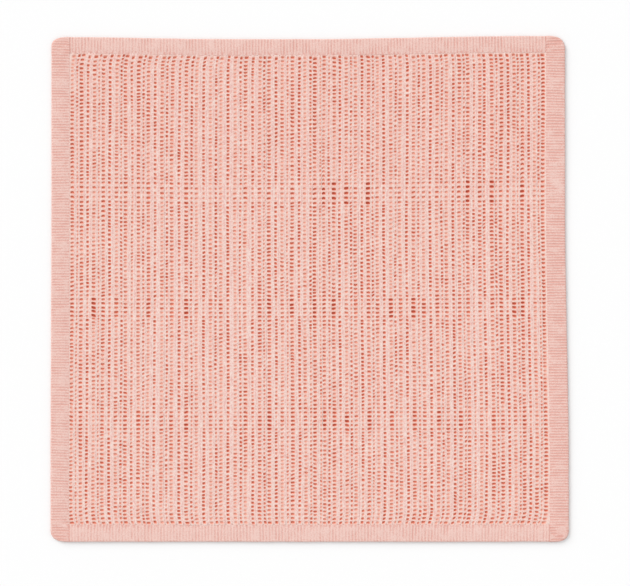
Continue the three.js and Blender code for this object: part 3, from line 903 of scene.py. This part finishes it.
def knit_loops_group():
    """Rows of V-shaped loops up a cord or rib: the V opens away from the crown on both sides."""
    nodes, given, result = new_group(
        "knit loops",
        {"Along": ("NodeSocketFloat", 0), "Crown": ("NodeSocketFloat", 1),
         "Course": ("NodeSocketFloat", KNIT_COURSE), "Slant": ("NodeSocketFloat", 0.7)},
        ["Height"],
    )
    steps = nodes.math("DIVIDE", given["Along"], given["Course"])
    lean = nodes.math("MULTIPLY", nodes.math("SUBTRACT", 1.0, given["Crown"]), given["Slant"])
    wave = nodes.math("SINE", nodes.math("MULTIPLY", nodes.math("ADD", steps, lean), 2 * math.pi))
    nodes.put(nodes.math("MULTIPLY_ADD", wave, 0.5, 0.5), result["Height"])
    return nodes.tree


def cotton_fibres_group():
    """Fine unevenness of spun cotton: short fibres and slubs."""
    nodes, given, result = new_group(
        "cotton fibres",
        {"Vector": ("NodeSocketVector", None), "Fibres": ("NodeSocketFloat", 1800),
         "Slubs": ("NodeSocketFloat", 520)},
        ["Height", "Slub"],
    )
    fine = nodes.noise(given["Vector"], given["Fibres"], Detail=3.0, Roughness=0.6)
    slub = nodes.noise(given["Vector"], given["Slubs"], Detail=2.0)
    both = nodes.math("ADD", nodes.math("MULTIPLY", fine, 0.6), nodes.math("MULTIPLY", slub, 0.4))
    nodes.put(both, result["Height"])
    nodes.put(slub, result["Slub"])
    return nodes.tree


def uneven_dye_group():
    """Slow lighter and darker patches in the dye, about 1 on average."""
    nodes, given, result = new_group(
        "uneven dye",
        {"Vector": ("NodeSocketVector", None), "Patches": ("NodeSocketFloat", 22),
         "Strength": ("NodeSocketFloat", 0.06)},
        ["Shade"],
    )
    patches = nodes.noise(given["Vector"], given["Patches"], Detail=4.0, Roughness=0.65)
    swing = nodes.math("MULTIPLY", nodes.math("SUBTRACT", patches, 0.5), given["Strength"])
    nodes.put(nodes.math("ADD", swing, 1.0), result["Shade"])
    return nodes.tree


def painted_cell_shade(nodes, colour):
    """Coral on the rungs and on the cell walls facing them, partly yarn tone and partly painted bounced
    light, and painted shade in deeper coral the further a point is sunk in a cell.
    """
    colour = nodes.blend(colour, RUNG_AND_BOUNCE_CORAL, nodes.attribute("warm"))
    sunk = nodes.attribute("sunk")
    for (low, high), deeper in CELL_SHADE_COLOURS:
        reached = nodes.add("ShaderNodeMapRange", {"Value": sunk, "From Min": low, "From Max": high},
                            interpolation_type="SMOOTHSTEP").outputs[0]
        colour = nodes.blend(colour, deeper, reached)
    return colour


def yarn_material(name, crown_colour, furrow_colour, groups, along_attribute, course, speckles, has_cells):
    """Matte knitted cotton: loops and fibres raised, a painted highlight on the crests, and furrows and cells
    deeper in colour with painted shade.
    """
    material = bpy.data.materials.new(name)
    material.use_nodes = True
    nodes = Nodes(material.node_tree)
    shader = next(n for n in material.node_tree.nodes if n.type == "BSDF_PRINCIPLED")
    place = nodes.add("ShaderNodeTexCoord").outputs["Object"]
    crest = nodes.attribute("crest")
    if along_attribute:
        along = nodes.attribute(along_attribute)
    else:
        along = nodes.add("ShaderNodeSeparateXYZ", {0: place}).outputs["Y"]
    loops = nodes.add("ShaderNodeGroup", node_tree=groups["loops"])
    fibres = nodes.add("ShaderNodeGroup", node_tree=groups["fibres"])
    dye = nodes.add("ShaderNodeGroup", node_tree=groups["dye"])
    for key, value in (("Along", along), ("Crown", crest), ("Course", course)):
        nodes.put(value, loops.inputs[key])
    nodes.put(place, fibres.inputs["Vector"])
    nodes.put(place, dye.inputs["Vector"])

    speckle = nodes.math("MULTIPLY_ADD", fibres.outputs["Slub"], speckles, -0.5 * speckles)
    # Painted shade in the furrows and painted highlight on the crests, mixed by the crest tone and the slubs
    colour = nodes.blend(furrow_colour, crown_colour, nodes.math("ADD", crest, speckle, clamp=True))
    # Painted shade and bounced coral light in the cells
    if has_cells:
        colour = painted_cell_shade(nodes, colour)
    fleck = nodes.math("MULTIPLY_ADD", fibres.outputs["Height"], 0.10, 0.95)
    shade = nodes.math("MULTIPLY", fleck, dye.outputs["Shade"])
    shaded = nodes.add("ShaderNodeVectorMath", {0: colour, "Scale": shade}, operation="SCALE")
    nodes.put(shaded.outputs[0], shader.inputs["Base Color"])

    relief = nodes.math("ADD", nodes.math("MULTIPLY", loops.outputs["Height"], 0.6),
                        nodes.math("MULTIPLY", fibres.outputs["Height"], 0.5))
    bump = nodes.add("ShaderNodeBump", {"Height": relief, "Strength": 0.7, "Distance": 0.0003})
    nodes.put(bump.outputs[0], shader.inputs["Normal"])
    rough = nodes.math("MULTIPLY_ADD", fibres.outputs["Height"], 0.15, 0.82)
    nodes.put(rough, shader.inputs["Roughness"])
    shader.inputs["Sheen Weight"].default_value = 0.15
    shader.inputs["Sheen Roughness"].default_value = 0.6
    shader.inputs["Specular IOR Level"].default_value = 0.15
    return material


def white_floor():
    """A plain white floor, a hair below the cloth."""
    size, below, white = 9.0, -0.0002, 0.775
    mesh = bpy.data.meshes.new("floor")
    mesh.from_pydata([(-size, -size, below), (size, -size, below), (size, size, below), (-size, size, below)],
                     [], [(0, 1, 2, 3)])
    floor = bpy.data.objects.new("floor", mesh)
    bpy.context.collection.objects.link(floor)
    paint = bpy.data.materials.new("white floor")
    paint.use_nodes = True
    shader = next(n for n in paint.node_tree.nodes if n.type == "BSDF_PRINCIPLED")
    shader.inputs["Base Color"].default_value = (white, white, white, 1)
    shader.inputs["Roughness"].default_value = 0.9
    shader.inputs["Specular IOR Level"].default_value = 0.1
    mesh.materials.append(paint)


def studio_light():
    """Soft light all round, and a low soft key from the upper left."""
    surround, strength = 0.95, 2.15
    softness, height, from_upper_left = 38, 29, -135
    world = bpy.data.worlds.new("soft studio")
    world.use_nodes = True
    world.node_tree.nodes["Background"].inputs["Color"].default_value = (1.0, 1.0, 1.0, 1)
    world.node_tree.nodes["Background"].inputs["Strength"].default_value = surround
    bpy.context.scene.world = world

    sun_data = bpy.data.lights.new("key", "SUN")
    sun_data.energy = strength
    sun_data.angle = math.radians(softness)
    sun = bpy.data.objects.new("key", sun_data)
    bpy.context.collection.objects.link(sun)
    sun.rotation_euler = (math.radians(90 - height), 0, math.radians(from_upper_left))


def photo_camera():
    """Long lens straight above the cloth, in the frame of the photograph, 630 by 586 pixels."""
    frame_width, scale, sensor, lens = 630, 0.001455, 0.036, 0.100
    centre_x, centre_y = 0.0077, -0.0060
    data = bpy.data.cameras.new("camera")
    data.lens = lens * 1000
    data.sensor_width = sensor * 1000
    data.clip_end = 50
    camera = bpy.data.objects.new("camera", data)
    bpy.context.collection.objects.link(camera)
    height = frame_width * scale * lens / sensor
    camera.location = (centre_x, centre_y, height + PANEL_THICKNESS)
    bpy.context.scene.camera = camera


groups = {"loops": knit_loops_group(), "fibres": cotton_fibres_group(), "dye": uneven_dye_group()}
knit = yarn_material("cellular knit", CREST_HIGHLIGHT_PINK, VALLEY_SHADE_PINK, groups, None, KNIT_COURSE, KNIT_SPECKLES, True)
rib = yarn_material("rib knit", RIB_HIGHLIGHT_PINK, FURROW_SHADE_PINK, groups, "along", RIB_COURSE, RIB_SPECKLES, False)

face_pieces = knit_face()
back = back_ply()
bindings = {side: binding(side) for side in ("left", "right", "top", "bottom")}
for piece in [back, *face_pieces]:
    piece.data.materials.append(knit)
    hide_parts("cellular_panel")
for side, piece in bindings.items():
    piece.data.materials.append(rib)
    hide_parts(f"binding_{side}")

white_floor()
studio_light()
photo_camera()
bpy.context.scene.view_settings.view_transform = "Standard"
